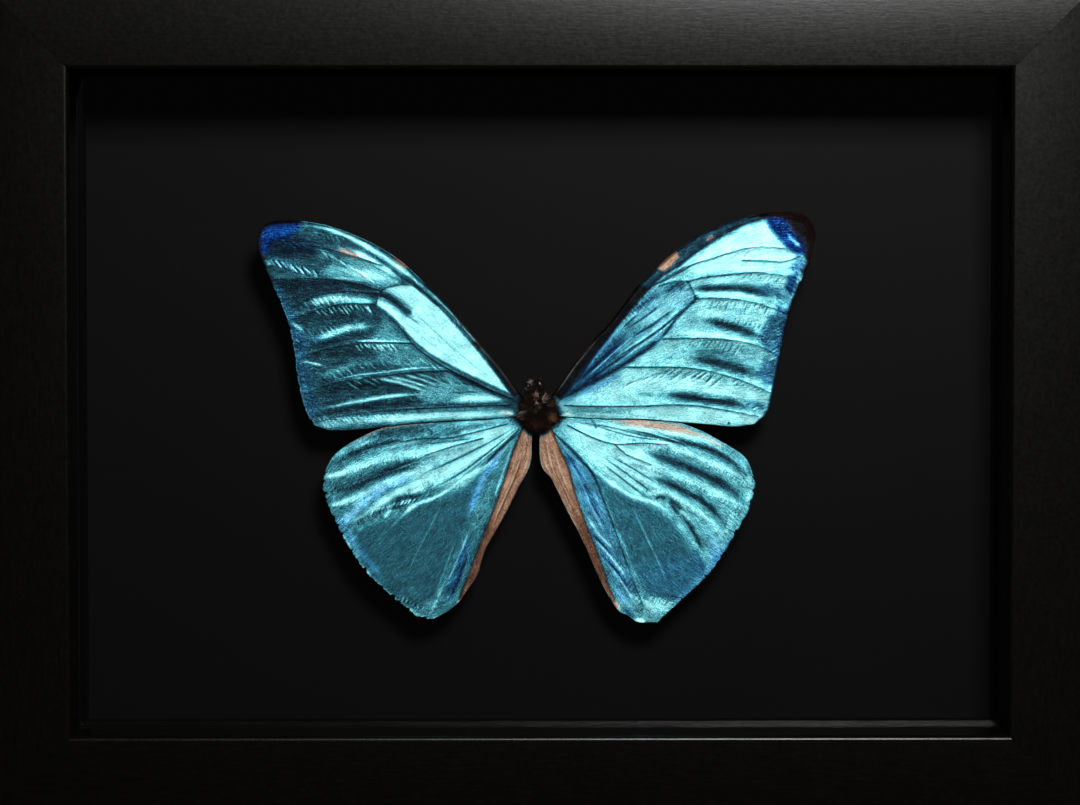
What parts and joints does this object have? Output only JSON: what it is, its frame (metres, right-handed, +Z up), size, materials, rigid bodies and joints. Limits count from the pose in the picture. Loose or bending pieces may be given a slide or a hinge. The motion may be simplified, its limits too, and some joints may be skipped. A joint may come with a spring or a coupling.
{
  "type": "framed butterfly specimen",
  "caption": "Spread blue butterfly fixed on black board behind glass in a deep black box frame that stands on its edge or hangs by a plate on its back.",
  "frame": {"origin": "under the middle of the frame, on the surface that its bottom edge stands on", "axes": "+X to the right seen from the front, +Y towards the back, +Z up; the glass faces -Y"},
  "size_m": [0.216, 0.038, 0.166],
  "materials": {
    "frame_paint": "satin black-brown paint over wood",
    "glass": "clear and polished",
    "spacer_black": "matte black",
    "board_black": "matte charcoal with a faint fibre grain",
    "hardboard": "bare brown fibreboard",
    "steel": "plain zinc-plated steel",
    "block_foam": "black foam",
    "body_fur": "dark brown hair over chitin",
    "wing_scales": "metallic blue scales over a thin membrane"
  },
  "bodies": {
    "root": {"rail_top": "frame_paint", "rail_bottom": "frame_paint", "rail_left": "frame_paint", "rail_right": "frame_paint", "glass": "glass", "spacer_top": "spacer_black", "spacer_bottom": "spacer_black", "spacer_left": "spacer_black", "spacer_right": "spacer_black", "mount_board": "board_black", "back_panel": "hardboard", "tab_top_left": "steel", "tab_top_right": "steel", "tab_bottom_left": "steel", "tab_bottom_right": "steel", "tab_left": "steel", "tab_right": "steel", "hanger_plate": "steel", "hanger_rivet": "steel", "mount_block": "block_foam", "thorax": "body_fur", "head": "body_fur", "forewing_left": "wing_scales", "forewing_right": "wing_scales", "hindwing_left": "wing_scales", "hindwing_right": "wing_scales"}
  },
  "joints": []
}
